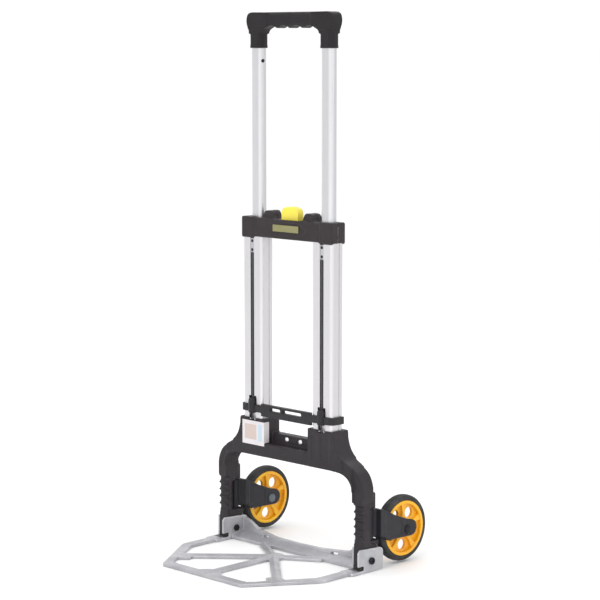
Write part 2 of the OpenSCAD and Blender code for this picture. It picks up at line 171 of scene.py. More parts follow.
def mesh_object(name, bm, material, smooth_angle=35):
    """Turns a bmesh in millimetres into an object in metres."""
    mesh = bpy.data.meshes.new(name)
    bmesh.ops.scale(bm, vec=(MM, MM, MM), verts=bm.verts)
    bm.to_mesh(mesh)
    bm.free()
    obj = bpy.data.objects.new(name, mesh)
    bpy.context.scene.collection.objects.link(obj)
    if material:
        mesh.materials.append(material)
    if smooth_angle:
        mesh.polygons.foreach_set("use_smooth", [True] * len(mesh.polygons))
        mesh.set_sharp_from_angle(angle=math.radians(smooth_angle))
    return obj


def turn(bm, degrees, axis):
    """Turns a bmesh about an axis through the origin."""
    rotation = Matrix.Rotation(math.radians(degrees), 3, axis)
    bmesh.ops.rotate(bm, cent=(0, 0, 0), matrix=rotation, verts=bm.verts)


def flip_x(bm):
    """Mirrors a bmesh to the other side."""
    bmesh.ops.scale(bm, vec=(-1, 1, 1), verts=bm.verts)
    bmesh.ops.reverse_faces(bm, faces=bm.faces)


def both_sides(bm, add):
    """Adds the same solids on both sides."""
    for flip in (False, True):
        half = bmesh.new()
        add(half)
        if flip:
            flip_x(half)
        add_part(bm, half)


def turned(bm, profile, axis, place, seg=32):
    """A (radius, offset) profile turned about an axis along Y or Z through a place."""
    part = bmesh.new()
    lathe(part, profile, (0, 0, 0), seg)
    turn(part, *((90, "Z") if axis == "Y" else (-90, "Y")))
    bmesh.ops.translate(part, vec=place, verts=part.verts)
    bmesh.ops.recalc_face_normals(part, faces=list(part.faces))
    add_part(bm, part)


def dome(radius, y_face, height, depth, steps=6):
    """Profile of a domed head whose crown points to -Y, with a shank of the given depth."""
    pts = [(0.05, y_face - height)]
    for k in range(1, steps + 1):
        t = math.pi / 2 * k / steps
        pts.append((radius * math.sin(t), y_face - height * math.cos(t)))
    shank, end = radius * 0.7, y_face + depth
    return pts + [(radius, y_face + 0.2), (shank, y_face + 0.2), (shank, end), (0.05, end)]


def cut_body(name, solids, cutters):
    """An object made of the solids, with a live cut by the cutters. Returns it and the cutting tool."""
    body, tool = mesh_object(name, solids, None, 0), None
    if cutters is not None:
        tool = mesh_object(name + "_tool", cutters, None, 0)
        cut = body.modifiers.new("cut", "BOOLEAN")
        cut.operation, cut.object, cut.solver, cut.use_self = "DIFFERENCE", tool, "EXACT", True
    return body, tool


def bake(body, tool, material):
    """Applies the modifiers of a piece, drops its tool and gives it one material."""
    bpy.context.view_layer.update()
    result = bpy.data.meshes.new_from_object(body.evaluated_get(bpy.context.evaluated_depsgraph_get()))
    body.modifiers.clear()
    body.data = result
    if tool is not None:
        bpy.data.objects.remove(tool)
    result.materials.clear()
    result.materials.append(material)
    result.polygons.foreach_set("use_smooth", [True] * len(result.polygons))


def melt(name, solids, material, cutters=None, voxel=1.0, smooth=8, keep=0.3):
    """One moulded piece: the solids less the cutters, remeshed and smoothed to round every edge."""
    body, tool = cut_body(name, solids, cutters)
    remesh = body.modifiers.new("remesh", "REMESH")
    remesh.mode, remesh.voxel_size, remesh.adaptivity = "VOXEL", voxel * MM, 0.0
    soft = body.modifiers.new("soft", "SMOOTH")
    soft.factor, soft.iterations = 0.5, smooth
    thin = body.modifiers.new("thin", "DECIMATE")
    thin.ratio = keep
    bake(body, tool, material)
    return body


def carve(name, solids, material, cutters=None, bevel=0.0, segments=2):
    """A crisp piece: the solids less the cutters, with a small bevel on its hard edges."""
    body, tool = cut_body(name, solids, cutters)
    if bevel:
        soft = body.modifiers.new("soft", "BEVEL")
        soft.width, soft.segments, soft.limit_method = bevel * MM, segments, "ANGLE"
        soft.angle_limit = math.radians(35)
    bake(body, tool, material)
    body.data.set_sharp_from_angle(angle=math.radians(35))
    return body


# ---------------------------------------------------------------- materials
def new_material(name):
    """A material with its node tree and its Principled shader."""
    mat = bpy.data.materials.new(name)
    mat.use_nodes = True
    nt = mat.node_tree
    return mat, nt, nt.nodes["Principled BSDF"]


def noise(nt, scale, detail=4.0, stretch=(1, 1, 1), rough=0.55):
    """Noise in object space, stretched along chosen axes. Returns its value output."""
    coord = nt.nodes.new("ShaderNodeTexCoord")
    mapping = nt.nodes.new("ShaderNodeMapping")
    mapping.inputs["Scale"].default_value = stretch
    tex = nt.nodes.new("ShaderNodeTexNoise")
    tex.inputs["Scale"].default_value = scale
    tex.inputs["Detail"].default_value = detail
    tex.inputs["Roughness"].default_value = rough
    nt.links.new(coord.outputs["Object"], mapping.inputs["Vector"])
    nt.links.new(mapping.outputs["Vector"], tex.inputs["Vector"])
    return tex.outputs["Fac"]


def ramp(nt, value, stops):
    """A colour ramp over a value. stops is a list of (place, colour)."""
    node = nt.nodes.new("ShaderNodeValToRGB")
    while len(node.color_ramp.elements) < len(stops):
        node.color_ramp.elements.new(0.5)
    for el, (place, colour) in zip(node.color_ramp.elements, stops):
        el.position = place
        el.color = tuple(colour) + (1,) if len(colour) == 3 else colour
    nt.links.new(value, node.inputs["Fac"])
    return node.outputs["Color"]


def grey(v):
    """A grey of one value."""
    return (v, v, v)


def mix(nt, factor, a, b, mode="MIX"):
    """Colour mix of two colours or sockets."""
    node = nt.nodes.new("ShaderNodeMix")
    node.data_type, node.blend_type = "RGBA", mode
    for socket, value in ((node.inputs[0], factor), (node.inputs[6], a), (node.inputs[7], b)):
        if isinstance(value, bpy.types.NodeSocket):
            nt.links.new(value, socket)
        elif isinstance(value, (tuple, list)):
            socket.default_value = tuple(value) + (1,)
        else:
            socket.default_value = value
    return node.outputs[2]


def bump(nt, bsdf, heights):
    """Bump from (height socket, strength, distance in metres), chained."""
    last = None
    for height, strength, distance in heights:
        node = nt.nodes.new("ShaderNodeBump")
        node.inputs["Strength"].default_value = strength
        node.inputs["Distance"].default_value = distance
        nt.links.new(height, node.inputs["Height"])
        if last:
            nt.links.new(last, node.inputs["Normal"])
        last = node.outputs["Normal"]
    nt.links.new(last, bsdf.inputs["Normal"])


def edge_mask(nt, low=0.52, high=0.60):
    """1 on convex edges, from pointiness."""
    geo = nt.nodes.new("ShaderNodeNewGeometry")
    return ramp(nt, geo.outputs["Pointiness"], [(low, grey(0)), (high, grey(1))])


def plastic(name, colour, roughness=0.5, grain=1400, depth=0.00012, wear=0.10, spec=0.34):
    """Moulded plastic with a fine spark-eroded grain, uneven sheen and slightly rubbed edges."""
    mat, nt, bsdf = new_material(name)
    cloud = noise(nt, 9, 5)
    tone = ramp(nt, cloud, [(0.3, [c * 0.82 for c in colour]), (0.7, [min(1, c * 1.18) for c in colour])])
    rubbed = [min(1, c * 1.9 + 0.02) for c in colour]
    scuff = noise(nt, 70, 6, (1, 1, 0.25))
    worn = mix(nt, edge_mask(nt), (0, 0, 0), ramp(nt, scuff, [(0.42, grey(0)), (0.62, grey(wear * 4))]))
    nt.links.new(mix(nt, worn, tone, tuple(rubbed)), bsdf.inputs["Base Color"])
    nt.links.new(ramp(nt, noise(nt, 35, 6), [(0.3, grey(roughness - 0.07)), (0.7, grey(roughness + 0.09))]),
                 bsdf.inputs["Roughness"])
    bsdf.inputs["Specular IOR Level"].default_value = spec
    bump(nt, bsdf, [(noise(nt, grain, 2), 0.35, depth), (noise(nt, 24, 3), 0.12, 0.0006)])
    return mat


def aluminium(name, tint=(0.80, 0.81, 0.83), roughness=0.34, stretch=(1, 1, 0.01), painted_side_shade=0.78):
    """Drawn, satin anodised aluminium with fine lines along the tube, with painted shade on its side walls
    and a painted highlight on its rounded corners.
    """
    mat, nt, bsdf = new_material(name)
    lines = noise(nt, 900, 3, stretch)
    broad = noise(nt, 60, 4, (1, 1, 0.03))
    tone = ramp(nt, broad, [(0.3, [c * 0.93 for c in tint]), (0.7, [min(1, c * 1.04) for c in tint])])
    smudge = ramp(nt, noise(nt, 12, 6), [(0.45, grey(0)), (0.75, grey(0.35))])
    tone = mix(nt, smudge, tone, tuple(c * 0.86 for c in tint))
    # painted shade and highlight: the colour follows the world-space normal, darkest on the side walls, a
    # little darker on the front, and brightest on the rounded corners
    split = nt.nodes.new("ShaderNodeSeparateXYZ")
    nt.links.new(nt.nodes.new("ShaderNodeNewGeometry").outputs["Normal"], split.inputs[0])
    size = nt.nodes.new("ShaderNodeMath")
    size.operation = "ABSOLUTE"
    nt.links.new(split.outputs["X"], size.inputs[0])
    stops = [(0.0, grey(0.75)), (0.35, grey(0.15)), (0.5, grey(0)), (0.75, grey(0.15)), (1.0, grey(1))]
    side = ramp(nt, size.outputs[0], stops)
    nt.links.new(mix(nt, side, tone, tuple(c * painted_side_shade for c in tint)), bsdf.inputs["Base Color"])
    nt.links.new(ramp(nt, lines, [(0.25, grey(roughness - 0.06)), (0.75, grey(roughness + 0.10))]),
                 bsdf.inputs["Roughness"])
    bsdf.inputs["Metallic"].default_value = 0.85
    bump(nt, bsdf, [(lines, 0.25, 0.00008)])
    return mat


def cast_metal(name):
    """Die-cast aluminium, blasted: mottled grey with a fine pebble and brighter rubbed edges."""
    mat, nt, bsdf = new_material(name)
    cloud = noise(nt, 18, 6)
    tone = ramp(nt, cloud, [(0.3, (0.37, 0.37, 0.395)), (0.7, (0.52, 0.52, 0.545))])
    spots = ramp(nt, noise(nt, 240, 3), [(0.55, grey(0)), (0.75, grey(0.5))])
    tone = mix(nt, spots, tone, (0.33, 0.33, 0.36))
    patches = ramp(nt, noise(nt, 55, 5), [(0.35, grey(0.1)), (0.6, grey(0.8))])
    rub = mix(nt, edge_mask(nt, 0.505, 0.56), (0, 0, 0), patches)
    nt.links.new(mix(nt, rub, tone, (0.78, 0.78, 0.80)), bsdf.inputs["Base Color"])
    nt.links.new(ramp(nt, noise(nt, 90, 5), [(0.3, grey(0.42)), (0.7, grey(0.6))]), bsdf.inputs["Roughness"])
    bsdf.inputs["Metallic"].default_value = 0.55
    bump(nt, bsdf, [(noise(nt, 700, 3), 0.4, 0.0002), (noise(nt, 60, 3), 0.12, 0.0008)])
    return mat


def rubber(name, colour, grain=900, roughness=0.72):
    """Rubber with dust in its grain."""
    mat, nt, bsdf = new_material(name)
    dust = ramp(nt, noise(nt, 45, 7), [(0.45, grey(0)), (0.8, grey(0.35))])
    tone = ramp(nt, noise(nt, 14, 4), [(0.3, [c * 0.8 for c in colour]), (0.7, [c * 1.25 for c in colour])])
    nt.links.new(mix(nt, dust, tone, (0.13, 0.125, 0.12)), bsdf.inputs["Base Color"])
    nt.links.new(ramp(nt, noise(nt, 60, 4), [(0.3, grey(roughness - 0.1)), (0.7, grey(roughness + 0.08))]),
                 bsdf.inputs["Roughness"])
    bump(nt, bsdf, [(noise(nt, grain, 3), 0.4, 0.0002)])
    return mat


def rim_material(name):
    """Yellow-orange moulded nylon, with painted shade that makes it a deeper orange in the hollows."""
    mat, nt, bsdf = new_material(name)
    tone = ramp(nt, noise(nt, 16, 4), [(0.3, (0.86, 0.38, 0.004)), (0.7, (0.93, 0.52, 0.008))])
    geo = nt.nodes.new("ShaderNodeNewGeometry")
    # painted shade: concave places, found from pointiness, are pulled to a deeper orange
    painted_hollow_shade = ramp(nt, geo.outputs["Pointiness"], [(0.44, grey(0.55)), (0.5, grey(0))])
    nt.links.new(mix(nt, painted_hollow_shade, tone, (0.86, 0.25, 0.003)), bsdf.inputs["Base Color"])
    nt.links.new(ramp(nt, noise(nt, 40, 5), [(0.3, grey(0.26)), (0.7, grey(0.4))]), bsdf.inputs["Roughness"])
    bsdf.inputs["Subsurface Weight"].default_value = 0.05
    bsdf.inputs["Subsurface Radius"].default_value = (0.004, 0.002, 0.001)
    bump(nt, bsdf, [(noise(nt, 700, 2), 0.15, 0.0001), (noise(nt, 30, 3), 0.1, 0.0005)])
    return mat


def steel(name, tint=(0.55, 0.55, 0.57), roughness=0.3):
    """Zinc-plated steel with turning marks and a slight bloom."""
    mat, nt, bsdf = new_material(name)
    bloom = noise(nt, 120, 5)
    nt.links.new(ramp(nt, bloom, [(0.3, [c * 0.85 for c in tint]), (0.7, [min(1, c * 1.15) for c in tint])]),
                 bsdf.inputs["Base Color"])
    nt.links.new(ramp(nt, noise(nt, 300, 4), [(0.3, grey(roughness - 0.08)), (0.7, grey(roughness + 0.12))]),
                 bsdf.inputs["Roughness"])
    bsdf.inputs["Metallic"].default_value = 1.0
    bump(nt, bsdf, [(noise(nt, 1500, 2, (0.1, 1, 1)), 0.2, 0.0001)])
    return mat


def braid(name):
    """Black elastic cord: a diagonal braid from two crossed waves."""
    mat, nt, bsdf = new_material(name)
    coord = nt.nodes.new("ShaderNodeTexCoord")
    heights = []
    for lean in (0.7, -0.7):
        mapping = nt.nodes.new("ShaderNodeMapping")
        mapping.inputs["Rotation"].default_value = (0, lean, 0)
        wave = nt.nodes.new("ShaderNodeTexWave")
        wave.bands_direction = "X"
        wave.inputs["Scale"].default_value = 130
        nt.links.new(coord.outputs["Object"], mapping.inputs["Vector"])
        nt.links.new(mapping.outputs["Vector"], wave.inputs["Vector"])
        heights.append(wave.outputs["Fac"])
    weave = mix(nt, 0.5, heights[0], heights[1])
    tone = ramp(nt, weave, [(0.2, (0.012, 0.012, 0.014)), (0.8, (0.055, 0.055, 0.06))])
    nt.links.new(tone, bsdf.inputs["Base Color"])
    bsdf.inputs["Roughness"].default_value = 0.85
    bsdf.inputs["Sheen Weight"].default_value = 0.25
    bump(nt, bsdf, [(weave, 0.6, 0.0005), (noise(nt, 1500, 2), 0.2, 0.0001)])
    return mat


def label_material(name):
    """Pale blank label with a soft peach panel and a pale blue band, placed in object space."""
    low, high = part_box("rating_label")
    mat, nt, bsdf = new_material(name)
    coord = nt.nodes.new("ShaderNodeTexCoord")
    split = nt.nodes.new("ShaderNodeSeparateXYZ")
    nt.links.new(coord.outputs["Object"], split.inputs[0])

    def span(output, lo, hi):
        """1 between lo and hi with soft ends."""
        node = nt.nodes.new("ShaderNodeMapRange")
        node.inputs["From Min"].default_value, node.inputs["From Max"].default_value = lo, hi
        nt.links.new(split.outputs[output], node.inputs["Value"])
        stops = [(0.0, grey(0)), (0.04, grey(1)), (0.96, grey(1)), (1.0, grey(0))]
        return ramp(nt, node.outputs["Result"], stops)

    width, height = high.x - low.x, high.z - low.z
    paper = ramp(nt, noise(nt, 30, 5), [(0.3, (0.68, 0.64, 0.66)), (0.7, (0.76, 0.72, 0.74))])
    panel = mix(nt, 1.0, span("X", low.x + 0.10 * width, low.x + 0.66 * width),
                span("Z", low.z + 0.20 * height, low.z + 0.86 * height), "MULTIPLY")
    band = mix(nt, 1.0, span("X", low.x + 0.72 * width, low.x + 0.90 * width),
               span("Z", low.z + 0.16 * height, low.z + 0.90 * height), "MULTIPLY")
    tone = mix(nt, panel, paper, (0.60, 0.50, 0.46))
    nt.links.new(mix(nt, band, tone, (0.50, 0.64, 0.74)), bsdf.inputs["Base Color"])
    bsdf.inputs["Roughness"].default_value = 0.38
    bump(nt, bsdf, [(noise(nt, 200, 3), 0.08, 0.0002)])
    return mat


BLACK = plastic("yoke_plastic", (0.022, 0.0175, 0.021), 0.52)
BAR = plastic("bar_plastic", (0.023, 0.0170, 0.0195), 0.48)
HANDLE = plastic("handle_plastic", (0.012, 0.010, 0.0115), 0.52, spec=0.28)
GRIP = rubber("grip_rubber", (0.028, 0.028, 0.030))
HOOK = plastic("hook_plastic", (0.016, 0.015, 0.017), 0.45)
FORK = plastic("fork_plastic", (0.016, 0.0155, 0.020), 0.48)
YELLOW = plastic("button_plastic", (0.92, 0.74, 0.09), 0.32, 900, 0.00006, 0.05)
# both tube materials darken their side walls with painted shade, set by the last argument
ALU = aluminium("outer_aluminium", (0.80, 0.785, 0.805), painted_side_shade=0.78)
ALU_IN = aluminium("inner_aluminium", (0.80, 0.80, 0.825), 0.30, painted_side_shade=0.72)
CAST = cast_metal("cast_plate")
RIM = rim_material("rim_nylon")
TYRE = rubber("tyre_rubber", (0.022, 0.022, 0.023), 600, 0.75)
STEEL = steel("zinc_steel")
AXLE_STEEL = steel("blue_zinc_steel", (0.135, 0.148, 0.17), 0.34)
BLACK_STEEL = steel("black_bolt", (0.035, 0.035, 0.04), 0.42)
RIVET = steel("bright_rivet", (0.85, 0.85, 0.86), 0.28)
CORD = braid("elastic_braid")
PAD = rubber("pad_rubber", (0.02, 0.02, 0.02))
LABEL = label_material("blank_label")
BADGE = aluminium("badge_aluminium", (0.38, 0.36, 0.18), 0.38, (0.02, 1, 1))
ANCHOR = plastic("anchor_plastic", (0.42, 0.42, 0.44), 0.5)
BUSH = plastic("bush_plastic", (0.05, 0.05, 0.055), 0.5)

# ---------------------------------------------------------------- driving sizes, mostly from the frame
yoke_lo, yoke_hi = box_mm("yoke")
tube_lo, tube_hi = box_mm("outer_tube_right")
toe_front = box_mm("toe_plate")[0].y
tyre_lo, tyre_hi = box_mm("tyre_right")
hook_lo, hook_hi = box_mm("hook_bar")
tube_x = (tube_lo.x + tube_hi.x) / 2
tube_w, tube_d = tube_hi.x - tube_lo.x, tube_hi.y - tube_lo.y
tube_y = (tube_lo.y + tube_hi.y) / 2
inner_y = (box_mm("inner_tube_right")[0].y + box_mm("inner_tube_right")[1].y) / 2
axle = (tyre_lo + tyre_hi) / 2
leg_in, leg_out = 169.4, 193.1
pin_x, pin_y = 181.0, 20.0
fork_root, fork_top = 57, box_mm("fork_right")[1].z
bolt_yz = (8, 21.3)
foot_pad_front = -12


def put(obj, body, nodes):
    """A finished piece rides on its body and stands for its CAD nodes."""
    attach(obj, body)
    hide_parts(*nodes)
    return obj


def pair(build, name, body, nodes):
    """The same piece on both sides. build(name, sign) returns the object."""
    for side, sign in (("left", -1), ("right", 1)):
        put(build(f"{name}_{side}", sign), f"{body}_{side}", [f"{n}_{side}" for n in nodes])


# ---------------------------------------------------------------- yoke
beam_bottom, beam_step, beam_top, beam_back = 181, 207, 226, 3
beam_half, yoke_back = 70, 23
rivet_x, rivet_z = 18, 217.5
shoulder_line = smooth_line([(125, 240), (129, 226), (136, 214), (148, 203), (164, 194), (180, 183),
                             (189, 169), (193, 154), (leg_out, 128)], 5)
arch = smooth_line([(leg_in, 128), (leg_in, 153), (165, 165), (156, 174), (140, 180), (120, 181)], 5)
shoulder = [(110, beam_bottom), (110, yoke_hi.z - 8), (123.5, yoke_hi.z - 8)] + shoulder_line + arch
socket = [(58, beam_bottom), (58, yoke_hi.z), (124, yoke_hi.z)] + [p for p in shoulder_line if p[0] < 146] \
    + [(146, 180.2), (120, beam_bottom)]
ridge_pitch = 14
ridge_z = range(70, 127, ridge_pitch)
foot = [(-10, 4), (26, 4), (30, 12), (30, 46), (12, 52), (-10, 52)]


def yoke_half(bm):
    """Socket, shoulder, leg and foot of one side."""
    prism(bm, socket, 1, yoke_lo.y + 0.2, yoke_back)
    prism(bm, shoulder, 1, -13, 18)
    prism(bm, [p for p in shoulder if p[0] < 170] + [(168, 182)], 1, -16, 20)
    block(bm, (leg_in, -10, 48), (leg_out, 12, 134), 3)
    for z in ridge_z:
        rod(bm, 0, (-8.4, z), 4, leg_in + 0.6, leg_out - 0.6, 24, 1)
    # swelling under the shoulder and at the hinge
    block(bm, (leg_in - 0.2, -12, 134), (leg_out + 0.4, 17, 150), 4)
    block(bm, (pin_x - 9, 8, 46), (pin_x + 9, 35.8, fork_root - 0.3), 2)
    block(bm, (pin_x - 9, 8, fork_top + 0.4), (pin_x + 9, 28, 146), 3)
    prism(bm, foot, 0, leg_in, leg_out)
    # bead along the arch
    lip = [Vector(p) for p in arch[4:]]
    for p, q in zip(lip, lip[1:]):
        prism(bm, [(p.x, p.y - 0.4), (q.x, q.y - 0.4), (q.x + 1, q.y + 6), (p.x + 4, p.y + 5)], 1, -18, -8)


def yoke_cuts(bm):
    """Holes and recesses of one side of the yoke."""
    prism(bm, rounded(tube_w, tube_d, 6, (tube_x, tube_y)), 2, 190, 270)
    rod(bm, 2, (tube_x, tube_lo.y), 9.4, 249, 280)
    rod(bm, 2, (pin_x, pin_y), 3.1, 40, 160, 32)
    rod(bm, 0, bolt_yz, 5.1, leg_in - 2, leg_out + 2, 32)
    # inner back corner cut away for the swinging fork
    corner = [(leg_in - 2, -0.5), (leg_in + 0.2, -0.5), (leg_in + 9, 12.2), (leg_in + 9, 13),
              (leg_in - 2, 13)]
    prism(bm, corner, 2, fork_root - 0.2, fork_top + 0.2)
    rod(bm, 1, (rivet_x, rivet_z), 4.1, 0, 9, 32)
    # scallops between the finger ridges
    for z in ridge_z:
        rod(bm, 0, (-13.2, z - ridge_pitch / 2), 6, leg_in - 1, leg_out + 1, 32)


body_bm, cut_bm = bmesh.new(), bmesh.new()
block(body_bm, (-beam_half, yoke_lo.y + 0.2, beam_bottom), (beam_half, yoke_back, beam_step), 2)
block(body_bm, (-beam_half, beam_back, beam_bottom + 2), (beam_half, yoke_back, beam_top), 2)
# a step between the beam's web and its lower edge
block(body_bm, (-122, yoke_lo.y, beam_bottom + 0.3), (122, -6, beam_bottom + 6), 2)
both_sides(body_bm, yoke_half)
both_sides(cut_bm, yoke_cuts)
# two shallow panels on the right socket
for x0, x1 in ((66, 84), (90, 116)):
    block(cut_bm, (x0, -30, 194), (x1, yoke_lo.y + 1.0, 244), 3)
put(melt("yoke_moulding", body_bm, BLACK, cut_bm, 1.1, 7, 0.35), "frame", ["yoke"])

# ---------------------------------------------------------------- rivets, pads and bolts
rivet_bm = bmesh.new()
for x in (-rivet_x, rivet_x):
    turned(rivet_bm, dome(5.2, beam_back - 0.2, 2.0, 5), "Y", (x, 0, rivet_z))
put(mesh_object("beam_rivets", rivet_bm, RIVET), "frame", ["yoke_rivets"])

pad_bm = bmesh.new()
both_sides(pad_bm, lambda b: block(b, (leg_in + 1, foot_pad_front, 4.5), (leg_out - 1, -9.6, 13), 0.7))
put(mesh_object("foot_pads", pad_bm, PAD), "frame", ["leg_pads"])

anchor_bm = bmesh.new()
both_sides(anchor_bm, lambda b: block(b, (tube_x - 4.4, -15.8, 572), (tube_x + 4.4, -8.6, 598), 0.8))
both_sides(anchor_bm, lambda b: block(b, (tube_x - 4.0, -15.95, 570.5), (tube_x + 4.0, -9, 575), 1.2))
anchors = mesh_object("cord_anchor_blocks", anchor_bm, ANCHOR)
stud_bm = bmesh.new()
for side in (-1, 1):
    for z in (576, 593):
        turned(stud_bm, dome(3.1, tube_lo.y + 0.3, 1.0, 3), "Y", (side * tube_x, 0, z))
studs = mesh_object("cord_anchor_rivets", stud_bm, BLACK_STEEL)
put(anchors, "frame", ["cord_anchors"])
put(studs, "frame", ["cord_anchors"])


def toe_bolt(bm):
    """Bolt shank with a round head outside and a nut inside."""
    rod(bm, 0, bolt_yz, 5, 164, 199, 32)
    rod(bm, 0, bolt_yz, 6.8, 197.8, 200.8, 40, 1.1)
    rod(bm, 0, bolt_yz, 6.8, 161.7, 164.7, 6, 0.5)


def hex_socket(bm):
    """Key socket in the head of a bolt."""
    rod(bm, 0, bolt_yz, 3.0, 199.4, 202, 6)


bolt_bm, bolt_cut = bmesh.new(), bmesh.new()
both_sides(bolt_bm, toe_bolt)
both_sides(bolt_cut, hex_socket)
put(carve("toe_bolt_pair", bolt_bm, BLACK_STEEL, bolt_cut), "frame", ["toe_bolts"])

# ---------------------------------------------------------------- lock bar
bar_deck, bar_top = 637.4, 639
bar_depth, end_depth, hump_depth = 17.9, 18.3, 12.2
groove_x, bar_end = (84.4, 86), 118.8
bar_screws, handle_screw = ((50, 611), (112, 632)), (88, 1007)
hump = smooth_line([(36, bar_deck), (39, 641), (42, 648), (46.5, 652.2), (53, 652.6), (60, 651.6), (65, 646),
                    (68, 640), (72, bar_deck)], 4)
half_top = [(0, bar_deck)] + hump + [(84, bar_deck), (88, bar_top), (117, bar_top), (119, 637)]
half_low = [(119, 601), (117, 599), (88, 599), (84, 601.6), (34, 601.6)]
bar_outline = half_top + half_low + mirrored(half_low) + mirrored(half_top)


def bar_half(name, front):
    """One moulded half of the lock bar, split on the plane of the uprights."""
    s = -1 if front else 1
    bm, cut = bmesh.new(), bmesh.new()
    end_y = sorted((s * 0.1, s * end_depth))
    flat = [(x, min(z, bar_top)) for x, z in half_top]
    low_outline = flat + half_low + mirrored(half_low) + mirrored(flat)
    prism(bm, low_outline, 1, *sorted((s * 0.1, s * bar_depth)))
    # the humps are narrower than the bar
    prism(bm, bar_outline, 1, *sorted((s * 0.1, s * hump_depth)))
    for side in (-1, 1):
        a, b = sorted((side * groove_x[1], side * bar_end))
        block(bm, (a, end_y[0], 599.1), (b, end_y[1], bar_top - 0.1), 3)
        # sockets for the tubes
        prism(cut, rounded(tube_w, tube_d, 6, (side * tube_x, tube_y)), 2, 590, 632)
        prism(cut, rounded(29.9, 19.9, 8.4, (side * tube_x, inner_y)), 2, 620, 660)
        # groove round the end block
        a, b = sorted((side * groove_x[0], side * groove_x[1]))
        block(cut, (a, s * 17.0 if s > 0 else -30, 590), (b, 30 if s > 0 else -17.0, 660), 0)
    prism(cut, rounded(45.2, 17.2, 4.6, (0, 0)), 2, 610, 670)
    if front:
        block(cut, (-34.2, -30, 614.9), (34.2, -16.9, 628.1), 0)
        # dished panel round the badge
        turns = [k / 24 * math.pi for k in range(48)]
        prism(cut, [(52 * math.cos(t), 620.5 + 13.5 * math.sin(t)) for t in turns], 1, -30, -17.1)
    else:
        for side in (-1, 1):
            for x, z in bar_screws:
                rod(cut, 1, (side * x, z), 3.1, 15.3, 30, 32)
        for x in (-52, -26, 0, 26, 52):
            block(cut, (x - 10, 17.0, 606), (x + 10, 30, 608.4), 0)
    return melt(name, bm, BAR, cut, 0.95, 5, 0.35)


put(bar_half("lock_bar_shell_front", True), "frame", ["lock_bar_front"])
put(bar_half("lock_bar_shell_rear", False), "frame", ["lock_bar_rear"])


def cross_screw(bm, cut, x, y_face, z, radius):
    """A pan-head screw that faces +Y, with a cross recess."""
    rod(bm, 1, (x, z), radius, y_face - 2.4, y_face, 32, 0.5)
    for a, b in ((radius * 0.62, 0.45), (0.45, radius * 0.62)):
        block(cut, (x - a, y_face - 1.2, z - b), (x + a, y_face + 1, z + b), 0)


screw_bm, screw_cut = bmesh.new(), bmesh.new()
for side in (-1, 1):
    for x, z in bar_screws:
        cross_screw(screw_bm, screw_cut, side * x, 17.6, z, 2.75)
put(carve("lock_bar_screw_set", screw_bm, STEEL, screw_cut), "frame", ["lock_bar_screws"])
screw_bm, screw_cut = bmesh.new(), bmesh.new()
for side in (-1, 1):
    cross_screw(screw_bm, screw_cut, side * handle_screw[0], inner_y + 13.4, handle_screw[1], 2.55)
put(carve("handle_screw_set", screw_bm, BLACK_STEEL, screw_cut), "handle", ["handle_screws"])

# ---------------------------------------------------------------- release button
face = smooth_line([(21.8, 621), (21.9, 642), (21.2, 652), (17.5, 658.5), (10, 661.4), (0, 661.9)], 5)
button_bm, button_cut = bmesh.new(), bmesh.new()
prism(button_bm, face + mirrored(face), 1, -7.9, 7.9)
# thumb grooves that follow the crown
for k in range(-2, 3):
    x = k * 6.6
    rod(button_cut, 1, (x, 664.0 - 0.014 * x ** 2), 2.9, -20, 20, 20)
block(button_cut, (-19.5, -6, 600), (19.5, 6, 650), 0)
put(melt("button_cap", button_bm, YELLOW, button_cut, 0.8, 4, 0.4), "button", ["release_button"])

# ---------------------------------------------------------------- handle
grip_bottom, grip_top = 991, 1021
cap_bottom, socket_bottom = 981, 954.6
parting = (66, 66.8)
scallop_depth, pitch = 5, 33
half_w = pitch / 2 - 2
scallop_r = (half_w ** 2 + scallop_depth ** 2) / (2 * scallop_depth)
cap_line = smooth_line([(75.4, cap_bottom), (74.5, 985), (70.5, 989.5), (64, 993), (57, 995)], 4) \
    + [(57, grip_top - 0.6)] + smooth_line([(96, grip_top), (104, 1019.8), (109.5, 1015.5), (111.8, 1008),
                                            (111.6, 1001), (110, 993), (108.6, 986), (108.4, cap_bottom)], 5)


def handle_half(bm):
    """End cap, fuller than the bar between, running down into the socket."""
    prism(bm, cap_line, 1, inner_y - 11.4, inner_y + 11.4)
    prism(bm, [p for p in cap_line if p[1] > 989], 1, inner_y - 13, inner_y + 13)
    prism(bm, [p for p in cap_line if p[1] > 994.9], 1, inner_y - 13.9, inner_y + 13.9)
    prism(bm, rounded(33, 23, 9, (tube_x, inner_y)), 2, socket_bottom, 1000)
    # rolled edge at the mouth of the socket
    prism(bm, rounded(34, 24, 9.5, (tube_x, inner_y)), 2, socket_bottom, 959)


def handle_cuts(bm):
    """Bore for the tube, screw hole and parting grooves of one side."""
    prism(bm, rounded(29.1, 19.1, 8, (tube_x, inner_y)), 2, 940, 984)
    rod(bm, 1, handle_screw, 2.8, inner_y + 10.5, inner_y + 20, 32)
    block(bm, (parting[0], inner_y - 20, 980), (parting[1], inner_y - 13.2, 1030), 0)
    block(bm, (parting[0], inner_y + 13.2, 980), (parting[1], inner_y + 20, 1030), 0)
    block(bm, (parting[0], inner_y - 20, 1020.2), (parting[1], inner_y + 20, 1030), 0)


def scallops(bm):
    """Four finger hollows along the underside of the grip."""
    for k in (-1.5, -0.5, 0.5, 1.5):
        centre = (k * pitch, grip_bottom + scallop_depth - scallop_r)
        rod(bm, 1, centre, scallop_r, inner_y - 30, inner_y + 30, 64)


handle_bm, handle_cut = bmesh.new(), bmesh.new()
both_sides(handle_bm, handle_half)
prism(handle_bm, rounded(26.6, 29.8, 10, (inner_y, 1006)), 0, -70, 70)
both_sides(handle_cut, handle_cuts)
block(handle_cut, (-66, inner_y - 10.2, 980), (66, inner_y + 10.2, 1003.8), 0)
scallops(handle_cut)
put(melt("handle_moulding", handle_bm, HANDLE, handle_cut, 0.9, 6, 0.35), "handle", ["handle_shell"])

